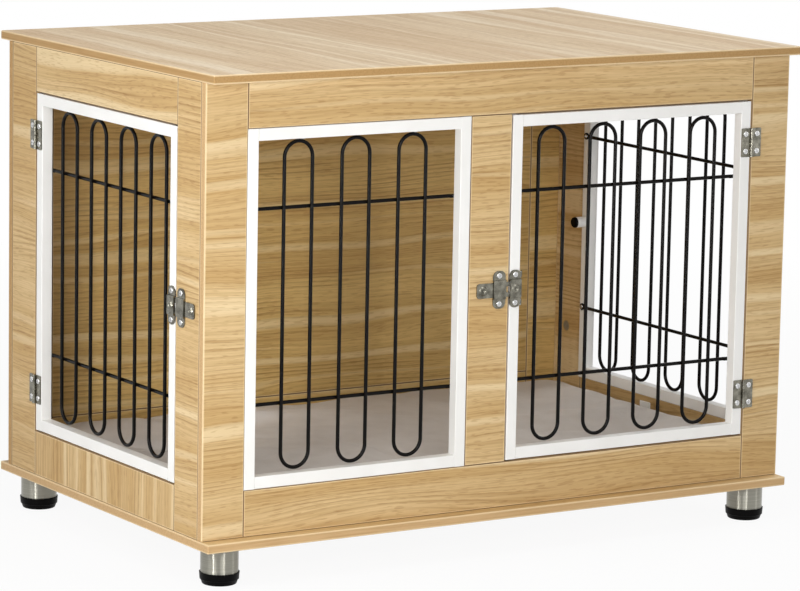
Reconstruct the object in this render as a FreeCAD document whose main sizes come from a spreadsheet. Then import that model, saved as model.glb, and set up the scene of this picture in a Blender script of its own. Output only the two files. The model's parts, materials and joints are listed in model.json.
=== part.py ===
import FreeCAD, Part
import Sketcher
import math
import os
import re

# Dog crate end table: an oak-faced board cabinet on four round feet, with two steel-framed
# wire doors, two fixed wire windows and a floor cushion. Millimetres, +Z up, front towards -Y.
# The origin is on the floor under the middle of the table top.

Vector = FreeCAD.Vector
Turn = FreeCAD.Rotation

doc = FreeCAD.newDocument("dog_crate_table")

# ---------------------------------------------------------------- driving sizes

SIZES = [
    ("table_width", 930.0, "top board, side to side"),
    ("table_height", 670.0, "floor to table top"),
    ("board_thick", 12.0, "every faced board"),
    ("edge_ease", 1.2, "rounding of the boards' edges"),
    ("top_side_overhang", 1.5, "top board past each side wall"),
    ("top_end_overhang", 22.5, "top board past the front and rear walls"),
    ("base_side_overhang", 1.5, "base board past each side wall"),
    ("base_end_overhang", 20.0, "base board past the front and rear walls"),
    ("leg_height", 50.0, "floor to base board"),
    ("stile_width", 62.0, "upright boards of the walls"),
    ("rear_stile_width", 71.0, "rear upright of each side wall"),
    ("rail_width", 62.0, "level boards of the walls"),
    ("centre_stile_width", 64.0, "upright between window and front door"),
    ("door_width", 394.0, "each door frame, the same on the front and the side"),
    ("door_gap", 2.0, "gap all round a door"),
    ("window_gap", 0.3, "fitting gap round a fixed window"),
    ("frame_tube", 16.0, "side of the square frame tube"),
    ("frame_wall", 1.2, "wall of the frame tube"),
    ("frame_corner", 1.0, "rounding of the frame tube"),
    ("wire_thick", 5.0, "grille wire, across"),
    ("weld_sink", 0.3, "depth of the weld between crossing wires"),
    ("loop_width", 47.0, "outside width of a wire loop"),
    ("loop_end_gap", 2.0, "loop end to frame tube"),
    ("bar_inset", 107.5, "level bar to the opening's top or bottom"),
    ("loop_margin", 20.0, "least space beside the outer loops of a grille"),
    ("door_loop_pitch", 83.5, "loops of the doors and the side window"),
    ("window_loop_pitch", 87.0, "loops of the front window"),
    ("eyelet_width", 10.0, "flattened bar end, across"),
    ("eyelet_thick", 2.0, "flattened bar end"),
    ("eyelet_neck", 4.0, "flat stretch between eyelet and round bar"),
    ("hinge_tall", 40.0, "hinge leaf"),
    ("hinge_span", 33.0, "both leaves laid flat"),
    ("hinge_inset", 59.0, "hinge middle to the opening's top or bottom"),
    ("leaf_thick", 1.2, "hinge and latch sheet steel"),
    ("leaf_corner", 1.5, "rounding of the leaf corners"),
    ("knuckle_thick", 4.5, "hinge knuckle, across"),
    ("knuckle_length", 13.0, "the door leaf's knuckle"),
    ("knuckle_gap", 0.2, "end play between knuckles"),
    ("knuckle_clearance", 0.35, "leaf notch round the other knuckle"),
    ("pin_thick", 2.2, "hinge pin"),
    ("pin_clearance", 0.03, "hinge pin in its knuckles, on the radius"),
    ("pin_proud", 2.55, "pin axis in front of the wood"),
    ("hinge_screw_reach", 9.5, "leaf screws from the pin"),
    ("hinge_screw_spread", 24.0, "between a leaf's two screws"),
    ("screw_shank", 3.5, "screws, across"),
    ("screw_head", 8.0, "pan head of the hinge and latch screws"),
    ("screw_head_tall", 1.3, "height of the pan heads, which clear each other on an open door"),
    ("screw_length", 11.0, "hinge and latch screws under the head"),
    ("screw_fit", 0.1, "screw in its hole, on the radius"),
    ("grille_screw_head", 6.5, "pan head of the grille and window screws"),
    ("grille_screw_length", 8.0, "grille screws under the head"),
    ("window_screw_length", 30.0, "window screws under the head"),
    ("window_screw_spread", 300.0, "window screws up the stile"),
    ("recess_wide", 1.0, "slot of the cross recess"),
    ("recess_long", 4.4, "length of the cross recess"),
    ("recess_deep", 0.9, "depth of the cross recess"),
    ("bracket_width", 20.0, "latch bracket"),
    ("bracket_reach", 17.5, "bracket middle to door edge"),
    ("latch_tall", 51.0, "bracket and keeper"),
    ("latch_corner", 8.0, "rounding of bracket and keeper ends"),
    ("latch_screw_spread", 38.0, "between the screws of bracket or keeper"),
    ("bridge_tall", 26.0, "raised middle of bracket and keeper"),
    ("bolt_tall", 20.0, "sliding bolt"),
    ("bolt_thick", 1.6, "sliding bolt"),
    ("bolt_clearance", 0.3, "bolt over the wood and under the bridge"),
    ("bolt_back", 53.5, "bolt's outer end to door edge"),
    ("bolt_corner", 4.0, "rounding of the bolt's outer end"),
    ("bolt_tip_gap", 0.4, "bolt's prongs short of the keeper"),
    ("prong_long", 8.0, "depth of the notch between the prongs"),
    ("prong_notch", 8.0, "width of the notch between the prongs"),
    ("boss_wide", 13.0, "thumb boss of bolt and keeper"),
    ("boss_high", 1.5, "thumb boss"),
    ("boss_reach", 10.0, "boss middle to the bolt's outer end"),
    ("boss_dimple", 7.0, "ball that presses the dimple, across"),
    ("keeper_width", 18.0, "keeper"),
    ("keeper_wall", 4.0, "closed end of the keeper's pocket"),
    ("ear_tall", 9.0, "bent ears of the keeper"),
    ("ear_long", 4.5, "bent ears of the keeper"),
    ("ear_thick", 1.0, "bent ears of the keeper"),
    ("foot_thick", 50.0, "round leg tube"),
    ("foot_wall", 1.5, "wall of the leg tube"),
    ("foot_plate", 2.0, "plate welded inside the leg tube"),
    ("foot_side_inset", 40.0, "leg axis from the base board's side"),
    ("foot_end_inset", 40.0, "leg axis from the base board's front or rear"),
    ("foot_screw_circle", 28.0, "circle of the leg's three screws"),
    ("foot_screw_length", 10.0, "leg screws under the head"),
    ("cap_tall", 16.0, "plastic foot cap"),
    ("cap_floor", 8.0, "solid bottom of the cap"),
    ("cap_flare", 1.5, "cap's rim past the leg tube"),
    ("cap_taper", 2.5, "cap's bottom inside the leg tube's outline"),
    ("cap_groove", 0.8, "step round the cap"),
    ("cap_step", 6.0, "height of the step"),
    ("cap_round", 2.0, "rounding of the cap's bottom edge"),
    ("cap_fit", 0.1, "leg tube in its cap, on the radius"),
    ("dowel_thick", 6.0, "wooden dowels"),
    ("dowel_length", 24.0, "wooden dowels"),
    ("dowel_fit", 0.05, "dowel in its hole, on the radius"),
    ("dowel_end_gap", 0.5, "hole past each end of a dowel"),
    ("dowel_spread", 36.0, "between the two dowels of a rail end"),
    ("panel_dowel_spread", 500.0, "between the rear panel's dowels"),
    ("board_dowel_depth", 8.0, "dowel in the top or base board"),
    ("cam_thick", 15.0, "cam lock, across"),
    ("cam_deep", 9.5, "cam lock"),
    ("cam_fit", 0.1, "cam lock in its hole"),
    ("cam_reach", 31.5, "cam axis to the wall it draws in"),
    ("cam_height", 133.0, "cam axis above base board or below top board"),
    ("cam_bolt_thick", 6.0, "cam bolt shank"),
    ("cam_bolt_neck", 3.4, "cam bolt neck"),
    ("cam_bolt_anchor", 9.0, "cam bolt in the wall it draws in"),
    ("cam_pocket", 8.0, "hollow of the cam for the bolt's head, across"),
    ("peg_thick", 16.0, "round peg inside the side window"),
    ("peg_long", 17.0, "round peg"),
    ("plug_long", 4.5, "black end plug of the peg"),
    ("plug_round", 3.0, "rounding of the end plug"),
    ("cushion_gap", 0.6, "cushion to the walls"),
    ("cushion_tall", 56.0, "cushion at its crown"),
    ("cushion_drawn", 6.0, "sides drawn in between the corners"),
    ("cushion_corner", 34.0, "rounding of the cushion's corners in plan"),
]

sheet = doc.addObject("Spreadsheet::Sheet", "sizes")
for row, (alias, value, note) in enumerate(SIZES, start=1):
    sheet.set(f"A{row}", note)
    sheet.set(f"B{row}", str(value))
    sheet.setAlias(f"B{row}", alias)
doc.recompute()

# ---------------------------------------------------------------- places worked out from the sizes

# Both doors are the same, so the table's depth follows from the side door and its two stiles.
PLACES = [
    ("door_opening", "door_width + 2 * door_gap"),
    ("wall_half", "table_width / 2 - top_side_overhang"),
    ("side_inner", "wall_half - board_thick"),
    ("rear_inner", "(stile_width + door_opening + rear_stile_width) / 2"),
    ("rear_face", "rear_inner + board_thick"),
    ("table_half_depth", "rear_face + top_end_overhang"),
    ("base_top", "leg_height + board_thick"),
    ("top_under", "table_height - board_thick"),
    ("wall_tall", "top_under - base_top"),
    ("opening_low", "base_top + rail_width"),
    ("opening_high", "top_under - rail_width"),
    ("opening_tall", "opening_high - opening_low"),
    ("mid_height", "(opening_low + opening_high) / 2"),
    ("hinge_spread", "opening_tall - 2 * hinge_inset"),
    ("bar_spread", "opening_tall - 2 * bar_inset"),
    ("jamb", "wall_half - stile_width"),
    ("centre_right", "jamb - door_opening"),
    ("centre_left", "centre_right - centre_stile_width"),
    ("window_opening", "centre_left + jamb"),
    ("front_jamb", "stile_width - rear_inner"),
    ("rear_jamb", "front_jamb + door_opening"),
    ("base_half_width", "wall_half + base_side_overhang"),
    ("base_half_depth", "rear_face + base_end_overhang"),
    ("foot_x", "base_half_width - foot_side_inset"),
    ("foot_y", "base_half_depth - foot_end_inset"),
    ("wall_mid", "board_thick / 2"),
    ("loop_back", "frame_tube - wire_thick / 2 + weld_sink"),
    ("bar_back", "frame_tube + wire_thick / 2"),
    ("bolt_top", "2 * bolt_clearance + bolt_thick"),
    ("bridge_top", "bolt_top + leaf_thick"),
    ("hole_radius", "screw_shank / 2 + screw_fit"),
    ("keeper_side", "door_gap / 2"),
    ("bolt_length", "bolt_back - keeper_side - bolt_tip_gap"),
]

owner = {alias: "sizes" for alias, value, note in SIZES}


def formula(text):
    """The text with each size or place as the document names it."""
    return re.sub("[a-z][a-z_]*", lambda word: f"{owner[word.group()]}.{word.group()}", str(text))


places = doc.addObject("App::VarSet", "places")
for name, rule in PLACES:
    places.addProperty("App::PropertyFloat", name)
    places.setExpression(name, formula(rule))
    owner[name] = "places"
doc.recompute()


def size(name):
    """A size or a place as a plain number."""
    return float(getattr(doc.getObject(owner[name]), name))


# ---------------------------------------------------------------- building helpers

ALONG = {
    "x": Turn(Vector(0, 0, 1), Vector(1, 0, 0)),
    "-x": Turn(Vector(0, 0, 1), Vector(-1, 0, 0)),
    "y": Turn(Vector(0, 0, 1), Vector(0, 1, 0)),
    "-y": Turn(Vector(0, 0, 1), Vector(0, -1, 0)),
    "z": Turn(),
    "-z": Turn(Vector(1, 0, 0), 180),
}
ORIGIN = (0, 0, 0)


def place(piece, at, turn=None):
    """Put a piece at a point given as three formulas."""
    piece.Placement = FreeCAD.Placement(Vector(), turn or Turn())
    for axis, rule in zip("xyz", at):
        piece.setExpression(f"Placement.Base.{axis}", formula(rule))
    return piece


def block(name, at, extent):
    """A plain block from its lowest corner."""
    piece = doc.addObject("Part::Box", name)
    for side, rule in zip(("Length", "Width", "Height"), extent):
        piece.setExpression(side, formula(rule))
    return place(piece, at)


def rod(name, radius, length, at, along="z"):
    """A round bar from the middle of its first end."""
    piece = doc.addObject("Part::Cylinder", name)
    piece.setExpression("Radius", formula(radius))
    piece.setExpression("Height", formula(length))
    return place(piece, at, ALONG[along])


def joined(name, pieces):
    piece = doc.addObject("Part::MultiFuse", name)
    piece.Shapes = pieces
    return piece


def gathered(name, pieces, at=ORIGIN, turn=None):
    piece = doc.addObject("Part::Compound", name)
    piece.Links = pieces
    return place(piece, at, turn)


def cut(name, base, tools):
    piece = doc.addObject("Part::Cut", name)
    piece.Base = base
    piece.Tool = tools[0] if len(tools) == 1 else gathered(name + "_tools", tools)
    return piece


def copy(name, master, at, along="z"):
    """The same piece again at another place."""
    piece = doc.addObject("App::Link", name)
    piece.LinkedObject = master
    piece.LinkTransform = True
    return place(piece, at, ALONG[along])


def rounded(name, base, radius, chosen):
    """The base with the chosen edges rounded by a size."""
    doc.recompute()
    piece = doc.addObject("Part::Fillet", name)
    piece.Base = base
    amount = size(radius)
    edges = [i for i, edge in enumerate(base.Shape.Edges, start=1) if chosen(edge)]
    piece.Edges = [(i, amount, amount) for i in edges]
    return piece


def lies_along(edge, direction):
    """True for a straight edge along x, y or z."""
    start, end = edge.Vertexes[0].Point, edge.Vertexes[-1].Point
    return (end - start).Length > 0 and (end - start).normalize().cross(direction).Length < 1e-6


def new_body(name):
    body = doc.addObject("PartDesign::Body", name)
    return body, {plane.Role: plane for plane in body.Origin.OriginFeatures}


def new_sketch(body, plane, name):
    sketch = body.newObject("Sketcher::SketchObject", name)
    sketch.AttachmentSupport = (plane, [""])
    sketch.MapMode = "FlatFace"
    return sketch


def outline(sketch, points):
    """A closed outline of straight lines through the points. Returns the lines' numbers."""
    lines = [
        sketch.addGeometry(Part.LineSegment(Vector(*a, 0), Vector(*b, 0)))
        for a, b in zip(points, points[1:] + points[:1])
    ]
    for this, following in zip(lines, lines[1:] + lines[:1]):
        sketch.addConstraint(Sketcher.Constraint("Coincident", this, 2, following, 1))
    return lines


def rectangle(sketch, start, wide, tall, inset=None):
    """A rectangle from the sketch's origin, or from a corner set in by a size both ways."""
    step = size(inset) if inset else 0
    right, top = step + 10, step + 5
    lines = outline(sketch, [(step, step), (right, step), (right, top), (step, top)])
    for line, kind in zip(lines, ("Horizontal", "Vertical") * 2):
        sketch.addConstraint(Sketcher.Constraint(kind, line))
    if inset:
        dimension(sketch, start + "_in", inset, "DistanceX", -1, 1, lines[0], 1)
        dimension(sketch, start + "_up", inset, "DistanceY", -1, 1, lines[0], 1)
    else:
        sketch.addConstraint(Sketcher.Constraint("Coincident", lines[0], 1, -1, 1))
    dimension(sketch, start + "_wide", wide, "DistanceX", lines[0], 1, lines[0], 2)
    dimension(sketch, start + "_tall", tall, "DistanceY", lines[1], 1, lines[1], 2)


def dimension(sketch, name, rule, kind, *ends):
    """A named dimension of a sketch, tied to a formula."""
    number = sketch.addConstraint(Sketcher.Constraint(kind, *ends, 1.0))
    sketch.renameConstraint(number, name)
    sketch.setExpression(f"Constraints.{name}", formula(rule))


def pad(body, sketch, name, length):
    feature = body.newObject("PartDesign::Pad", name)
    feature.Profile = sketch
    feature.setExpression("Length", formula(length))
    return feature


NODES = []


def node(label, piece):
    """One sub-part of the table, written to a file of its name."""
    piece.Label = label
    NODES.append(piece)
    return piece


# ---------------------------------------------------------------- boards

# Each board: its lowest corner, then its extents.
FRONT = "-rear_face"
BOARDS = {
    "top_board": (
        ("-table_width / 2", "-table_half_depth", "top_under"),
        ("table_width", "2 * table_half_depth", "board_thick"),
    ),
    "base_board": (
        ("-base_half_width", "-base_half_depth", "leg_height"),
        ("2 * base_half_width", "2 * base_half_depth", "board_thick"),
    ),
    "front_centre_stile": (
        ("centre_left", FRONT, "opening_low"),
        ("centre_stile_width", "board_thick", "opening_tall"),
    ),
    "rear_panel": (
        ("-jamb", "rear_inner", "opening_low"),
        ("2 * jamb", "board_thick", "opening_tall"),
    ),
}
for wall, face in (("front", FRONT), ("rear", "rear_inner")):
    for side, corner in (("left", "-wall_half"), ("right", "jamb")):
        BOARDS[f"{wall}_{side}_stile"] = (
            (corner, face, "base_top"),
            ("stile_width", "board_thick", "wall_tall"),
        )
    for level, bottom in (("top", "opening_high"), ("bottom", "base_top")):
        BOARDS[f"{wall}_{level}_rail"] = (
            ("-jamb", face, bottom),
            ("2 * jamb", "board_thick", "rail_width"),
        )
for side, face in (("left", "-wall_half"), ("right", "side_inner")):
    BOARDS[f"{side}_side_front_stile"] = (
        (face, "-rear_inner", "base_top"),
        ("board_thick", "stile_width", "wall_tall"),
    )
    BOARDS[f"{side}_side_rear_stile"] = (
        (face, "rear_jamb", "base_top"),
        ("board_thick", "rear_stile_width", "wall_tall"),
    )
    for level, bottom in (("top", "opening_high"), ("bottom", "base_top")):
        BOARDS[f"{side}_side_{level}_rail"] = (
            (face, "front_jamb", bottom),
            ("board_thick", "door_opening", "rail_width"),
        )

drilled = {name: [] for name in BOARDS}


def raw_board(name, corner, extent):
    """A board with all its edges eased, before it is drilled."""
    body, planes = new_body(name + "_blank")
    sketch = new_sketch(body, planes["XY_Plane"], name + "_plan")
    rectangle(sketch, "plan", extent[0], extent[1])
    panel = pad(body, sketch, name + "_pad", extent[2])
    doc.recompute()
    ease = body.newObject("PartDesign::Fillet", name + "_ease")
    ease.Base = (panel, [""])
    ease.UseAllEdges = True
    ease.setExpression("Radius", formula("edge_ease"))
    return place(body, corner)


blanks = {name: raw_board(name, *shape) for name, shape in BOARDS.items()}

# ---------------------------------------------------------------- dowels and cam locks

dowel_blank = rod("dowel_blank", "dowel_thick / 2", "dowel_length", (0, 0, "-dowel_length / 2"))
dowel_master = rounded("dowel_master", dowel_blank, "edge_ease", lambda edge: edge.Closed)
dowel_hole = rod(
    "dowel_hole",
    "dowel_thick / 2 + dowel_fit",
    "dowel_length + 2 * dowel_end_gap",
    (0, 0, "-dowel_length / 2 - dowel_end_gap"),
)
dowels = []


def dowel(at, along, *boards):
    """A dowel about a point, and its hole in each board that it joins."""
    number = len(dowels) + 1
    dowels.append(copy(f"dowel_{number}", dowel_master, at, along))
    hole = copy(f"dowel_hole_{number}", dowel_hole, at, along)
    for board in boards:
        drilled[board].append(hole)


LEVELS = {"top": "opening_high + rail_width / 2", "bottom": "base_top + rail_width / 2"}
SPREAD = ("-dowel_spread / 2", "+dowel_spread / 2")
for wall, middle in (("front", "wall_mid - rear_face"), ("rear", "rear_face - wall_mid")):
    for side, joint in (("left", "-jamb"), ("right", "jamb")):
        for level, height in LEVELS.items():
            for step in SPREAD:
                dowel(
                    (joint, middle, height + step), "x",
                    f"{wall}_{side}_stile", f"{wall}_{level}_rail",
                )
for side, middle in (("left", "wall_mid - wall_half"), ("right", "wall_half - wall_mid")):
    for end, joint in (("front", "front_jamb"), ("rear", "rear_jamb")):
        for level, height in LEVELS.items():
            for step in SPREAD:
                dowel(
                    (middle, joint, height + step), "y",
                    f"{side}_side_{end}_stile", f"{side}_side_{level}_rail",
                )
for level, joint in (("top", "opening_high"), ("bottom", "opening_low")):
    for step in SPREAD:
        dowel(
            ("(centre_left + centre_right) / 2" + step, "wall_mid - rear_face", joint), "z",
            "front_centre_stile", f"front_{level}_rail",
        )
    for sign in ("-", "+"):
        dowel(
            (f"{sign}panel_dowel_spread / 2", "rear_face - wall_mid", joint), "z",
            "rear_panel", f"rear_{level}_rail",
        )

# Upright dowels from each stile into the top and base boards.
STILE_MIDDLES = {
    "front_left_stile": ("-jamb - stile_width / 2", "wall_mid - rear_face"),
    "front_right_stile": ("jamb + stile_width / 2", "wall_mid - rear_face"),
    "rear_left_stile": ("-jamb - stile_width / 2", "rear_face - wall_mid"),
    "rear_right_stile": ("jamb + stile_width / 2", "rear_face - wall_mid"),
    "left_side_front_stile": ("wall_mid - wall_half", "front_jamb - stile_width / 2"),
    "right_side_front_stile": ("wall_half - wall_mid", "front_jamb - stile_width / 2"),
    "left_side_rear_stile": ("wall_mid - wall_half", "rear_jamb + rear_stile_width / 2"),
    "right_side_rear_stile": ("wall_half - wall_mid", "rear_jamb + rear_stile_width / 2"),
}
for stile, middle in STILE_MIDDLES.items():
    dowel((*middle, "top_under + board_dowel_depth - dowel_length / 2"), "z", stile, "top_board")
    dowel((*middle, "base_top - board_dowel_depth + dowel_length / 2"), "z", stile, "base_board")
node("dowels", gathered("dowel_group", dowels))

# A cam lock sits in the side stile and draws in the front or rear wall by a bolt. Both masters
# lie with the cam's axis along +Z from its open face and the bolt along +Y.
recess_slots = [
    block(
        "cross_slot_a",
        ("-recess_long / 2", "-recess_wide / 2", "-recess_deep"),
        ("recess_long", "recess_wide", "2 * recess_deep"),
    ),
    block(
        "cross_slot_b",
        ("-recess_wide / 2", "-recess_long / 2", "-recess_deep"),
        ("recess_wide", "recess_long", "2 * recess_deep"),
    ),
]
cross_recess = joined("cross_recess", recess_slots)
cam_pocket_hole = rod("cam_pocket_hole", "cam_pocket / 2", "cam_thick", (0, 0, "-wall_mid"), "y")
cam_master = cut(
    "cam_master",
    rod("cam_disc", "cam_thick / 2", "cam_deep", ORIGIN, "-z"),
    [cam_pocket_hole, copy("cam_recess", cross_recess, ORIGIN)],
)
cam_bolt_master = joined(
    "cam_bolt_master",
    [
        rod(
            "cam_bolt_shank", "cam_bolt_thick / 2",
            "cam_reach - cam_thick / 2 - cam_fit + cam_bolt_anchor",
            (0, "cam_thick / 2 + cam_fit", "-wall_mid"), "y",
        ),
        rod("cam_bolt_stem", "cam_bolt_neck / 2", "cam_thick / 2", (0, "cam_fit", "-wall_mid"), "y"),
        rod("cam_bolt_head", "cam_bolt_thick / 2", "cam_bolt_neck / 2", (0, "cam_fit", "-wall_mid"), "y"),
    ],
)
cam_hole = rod("cam_hole", "cam_thick / 2 + cam_fit", "cam_deep + cam_fit", ORIGIN, "-z")
cam_bolt_hole = rod(
    "cam_bolt_hole", "cam_bolt_thick / 2 + dowel_fit",
    "cam_reach + cam_bolt_anchor + dowel_end_gap", (0, 0, "-wall_mid"), "y",
)
# The cam's open face looks into the cabin: turned so that local +Z points inwards.
CAM_TURNS = {
    ("left", "rear"): Turn(Vector(0, 0, -1), Vector(0, 1, 0), Vector(1, 0, 0), "ZYX"),
    ("right", "rear"): Turn(Vector(0, 0, 1), Vector(0, 1, 0), Vector(-1, 0, 0), "ZYX"),
    ("left", "front"): Turn(Vector(0, 0, 1), Vector(0, -1, 0), Vector(1, 0, 0), "ZYX"),
    ("right", "front"): Turn(Vector(0, 0, -1), Vector(0, -1, 0), Vector(-1, 0, 0), "ZYX"),
}
cams, cam_bolts = [], []
for (side, end), turn in CAM_TURNS.items():
    at_x = "-side_inner" if side == "left" else "side_inner"
    at_y = "rear_inner - cam_reach" if end == "rear" else "cam_reach - rear_inner"
    for level, at_z in (("low", "base_top + cam_height"), ("high", "top_under - cam_height")):
        tag = f"_{side}_{end}_{level}"
        pieces = {
            part: copy(part + tag, master, ORIGIN)
            for part, master in (
                ("cam", cam_master),
                ("cam_bolt", cam_bolt_master),
                ("cam_bore", cam_hole),
                ("cam_bolt_bore", cam_bolt_hole),
            )
        }
        for piece in pieces.values():
            place(piece, (at_x, at_y, at_z), turn)
        cams.append(pieces["cam"])
        cam_bolts.append(pieces["cam_bolt"])
        drilled[f"{side}_side_{end}_stile"] += [pieces["cam_bore"], pieces["cam_bolt_bore"]]
        drilled[f"{end}_{side}_stile"].append(pieces["cam_bolt_bore"])
node("cam_locks", gathered("cam_group", cams))
node("cam_bolts", gathered("cam_bolt_group", cam_bolts))

# ---------------------------------------------------------------- screws

# A screw's head sits on z = 0 and its shank runs down -Z.


def screw_master(name, head, length):
    """A pan-head screw with a cross recess."""
    dome = rounded(
        name + "_dome",
        rod(name + "_head", f"{head} / 2", "screw_head_tall", ORIGIN),
        "edge_ease",
        lambda edge: edge.Closed and edge.CenterOfMass.z > size("screw_head_tall") / 2,
    )
    shank = rod(name + "_shank", "screw_shank / 2", length, ORIGIN, "-z")
    recess = copy(name + "_recess", cross_recess, (0, 0, "screw_head_tall"))
    return cut(name, joined(name + "_blank", [dome, shank]), [recess])


def hole_master(name, length):
    return rod(name, "hole_radius", f"{length} + dowel_end_gap", ORIGIN, "-z")


hardware_screw = screw_master("hardware_screw", "screw_head", "screw_length")
hardware_hole = hole_master("hardware_hole", "screw_length")
grille_screw = screw_master("grille_screw", "grille_screw_head", "grille_screw_length")
grille_hole = hole_master("grille_hole", "grille_screw_length")
window_screw = screw_master("window_screw", "grille_screw_head", "window_screw_length")
window_hole = hole_master("window_hole", "window_screw_length")
foot_screw = screw_master("foot_screw", "grille_screw_head", "foot_screw_length")
foot_hole = hole_master("foot_hole", "foot_screw_length")


def copies(name, master, spots, along):
    """The same piece at several spots."""
    return [copy(f"{name}_{i}", master, at, along) for i, at in enumerate(spots, start=1)]


# ---------------------------------------------------------------- steel frames and wire grilles

# A door or window is drawn in its opening's own frame: x runs along the wall and is 0 at the
# hinge side, y runs inwards from the wood's outer face, and z is 0 at mid height.
OUTWARD = "-y"
INWARD = "y"
GRILLE_HEAD = "frame_tube + eyelet_thick"


def frame_tube(name, length, at, turn=None):
    """A square tube with rounded outer edges, hollow all along."""
    body, planes = new_body(name)
    section = new_sketch(body, planes["XY_Plane"], name + "_section")
    rectangle(section, "outer", "frame_tube", "frame_tube")
    inner = "frame_tube - 2 * frame_wall"
    rectangle(section, "inner", inner, inner, inset="frame_wall")
    tube = pad(body, section, name + "_pad", length)
    doc.recompute()
    corners = (0, size("frame_tube"))
    outer = [
        f"Edge{i}"
        for i, edge in enumerate(tube.Shape.Edges, start=1)
        if lies_along(edge, Vector(0, 0, 1))
        and min(abs(edge.CenterOfMass.x - c) for c in corners) < 0.01
        and min(abs(edge.CenterOfMass.y - c) for c in corners) < 0.01
    ]
    ease = body.newObject("PartDesign::Fillet", name + "_ease")
    ease.Base = (tube, outer)
    ease.setExpression("Radius", formula("frame_corner"))
    return place(body, at, turn)


LEVEL = Turn(Vector(0, 1, 0), 90)


def steel_frame(name, opening, gap, screw_holes):
    """Four tubes: uprights the full height, level ones between them."""
    high = f"(opening_tall / 2 - {gap})"
    between = f"{opening} - 2 * {gap} - 2 * frame_tube"
    first_level = f"{gap} + frame_tube - {opening}"
    tubes = [
        frame_tube(name + "_far", f"2 * {high}", (f"{gap} - {opening}", 0, f"-{high}")),
        frame_tube(name + "_near", f"2 * {high}", (f"-{gap} - frame_tube", 0, f"-{high}")),
        frame_tube(name + "_upper", between, (first_level, 0, high), LEVEL),
        frame_tube(name + "_lower", between, (first_level, 0, f"frame_tube - {high}"), LEVEL),
    ]
    return [cut(f"{tube.Name}_drilled", tube, screw_holes) for tube in tubes]


def eyelet_spots(opening, gap, back):
    """The four screwed ends of a grille's bars, in the middle of the upright tubes."""
    ends = (f"{gap} + frame_tube / 2 - {opening}", f"-{gap} - frame_tube / 2")
    return [(x, back, f"{sign}bar_spread / 2") for x in ends for sign in ("-", "+")]


def wire_loop(name, x, tall):
    """One upright racetrack of wire."""
    straight = f"({tall} - loop_width)"
    arm = "(loop_width - wire_thick) / 2"
    pieces = [
        rod(
            f"{name}_{side}", "wire_thick / 2", straight,
            (f"{x} {sign} {arm}", "loop_back", f"-{straight} / 2"),
        )
        for side, sign in (("far", "-"), ("near", "+"))
    ]
    for end, sign, angle in (("upper", "", 90), ("lower", "-", -90)):
        bend = doc.addObject("Part::Torus", f"{name}_{end}")
        bend.setExpression("Radius1", formula(arm))
        bend.setExpression("Radius2", formula("wire_thick / 2"))
        bend.Angle3 = 180
        spot = (x, "loop_back", f"{sign}{straight} / 2")
        pieces.append(place(bend, spot, Turn(Vector(1, 0, 0), angle)))
    return pieces


def wire_grille(name, opening, gap, pitch):
    """Loops welded to two level bars, whose flattened ends are screwed to the frame."""
    clear = size(opening) - 2 * size(gap) - 2 * size("frame_tube") - 2 * size("loop_margin")
    count = 1 + int((clear - size("loop_width")) / size(pitch))
    tall = f"(opening_tall - 2 * {gap} - 2 * frame_tube - 2 * loop_end_gap)"
    wires = []
    for i in range(count):
        x = f"-{opening} / 2 + {i - (count - 1) / 2} * {pitch}"
        wires += wire_loop(f"{name}_loop_{i + 1}", x, tall)
    round_start = f"({gap} + frame_tube / 2 + eyelet_width / 2 + eyelet_neck)"
    for level, sign in (("low", "-"), ("high", "+")):
        wires.append(
            rod(
                f"{name}_bar_{level}", "wire_thick / 2", f"{opening} - 2 * {round_start}",
                (f"{round_start} - {opening}", "bar_back", f"{sign}bar_spread / 2"), "x",
            )
        )
    for i, (x, back, z) in enumerate(eyelet_spots(opening, gap, "frame_tube"), start=1):
        inward = 1 if i <= 2 else -1
        neck_start = x if inward == 1 else f"{x} - eyelet_width / 2 - 2 * eyelet_neck"
        wires.append(rod(f"{name}_eye_{i}", "eyelet_width / 2", "eyelet_thick", (x, back, z), INWARD))
        wires.append(
            block(
                f"{name}_neck_{i}",
                (neck_start, back, f"{z} - wire_thick / 2"),
                ("eyelet_width / 2 + 2 * eyelet_neck", "eyelet_thick", "wire_thick"),
            )
        )
    screw_spots = eyelet_spots(opening, gap, GRILLE_HEAD)
    holes = copies(f"{name}_eye_hole", grille_hole, screw_spots, INWARD)
    return cut(name, joined(name + "_wires", wires), holes)


# Where each door or window stands: the hinge-side corner of its opening and its turn.
FACE_LEFT = Turn(Vector(1, 1, 0), 180)
FACE_RIGHT = Turn(Vector(0, 0, 1), 90)
STANDS = {
    "front_door": (("jamb", FRONT, "mid_height"), Turn()),
    "side_door": (("-wall_half", "rear_jamb", "mid_height"), FACE_LEFT),
    "front_window": (("centre_left", FRONT, "mid_height"), Turn()),
    "side_window": (("wall_half", "rear_jamb", "mid_height"), FACE_RIGHT),
}


def standing(label, where, pieces):
    """A node made of pieces drawn in an opening's own frame."""
    at, turn = STANDS[where]
    return node(label, gathered(label + "_set", pieces, at, turn))


# Hardware screws of a door, in its opening's frame. The far edge of the door takes the latch.
DOOR_EDGE = "door_gap - door_opening"
HINGE_LEVELS = ("-hinge_spread / 2", "+hinge_spread / 2")
HINGE_SCREW_STEPS = ("-hinge_screw_spread / 2", "+hinge_screw_spread / 2")
LATCH_SCREW_STEPS = ("-latch_screw_spread / 2", "+latch_screw_spread / 2")
PIN_X = "-door_gap / 2"
SHEET_FACE = "-leaf_thick"
KEEPER_X = f"{DOOR_EDGE} - keeper_side + keeper_width / 2"
BRACKET_X = f"{DOOR_EDGE} - bracket_reach"


def hinge_screw_spots(sign):
    return [
        (f"{PIN_X} {sign} hinge_screw_reach", SHEET_FACE, level + step)
        for level in HINGE_LEVELS
        for step in HINGE_SCREW_STEPS
    ]


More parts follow.
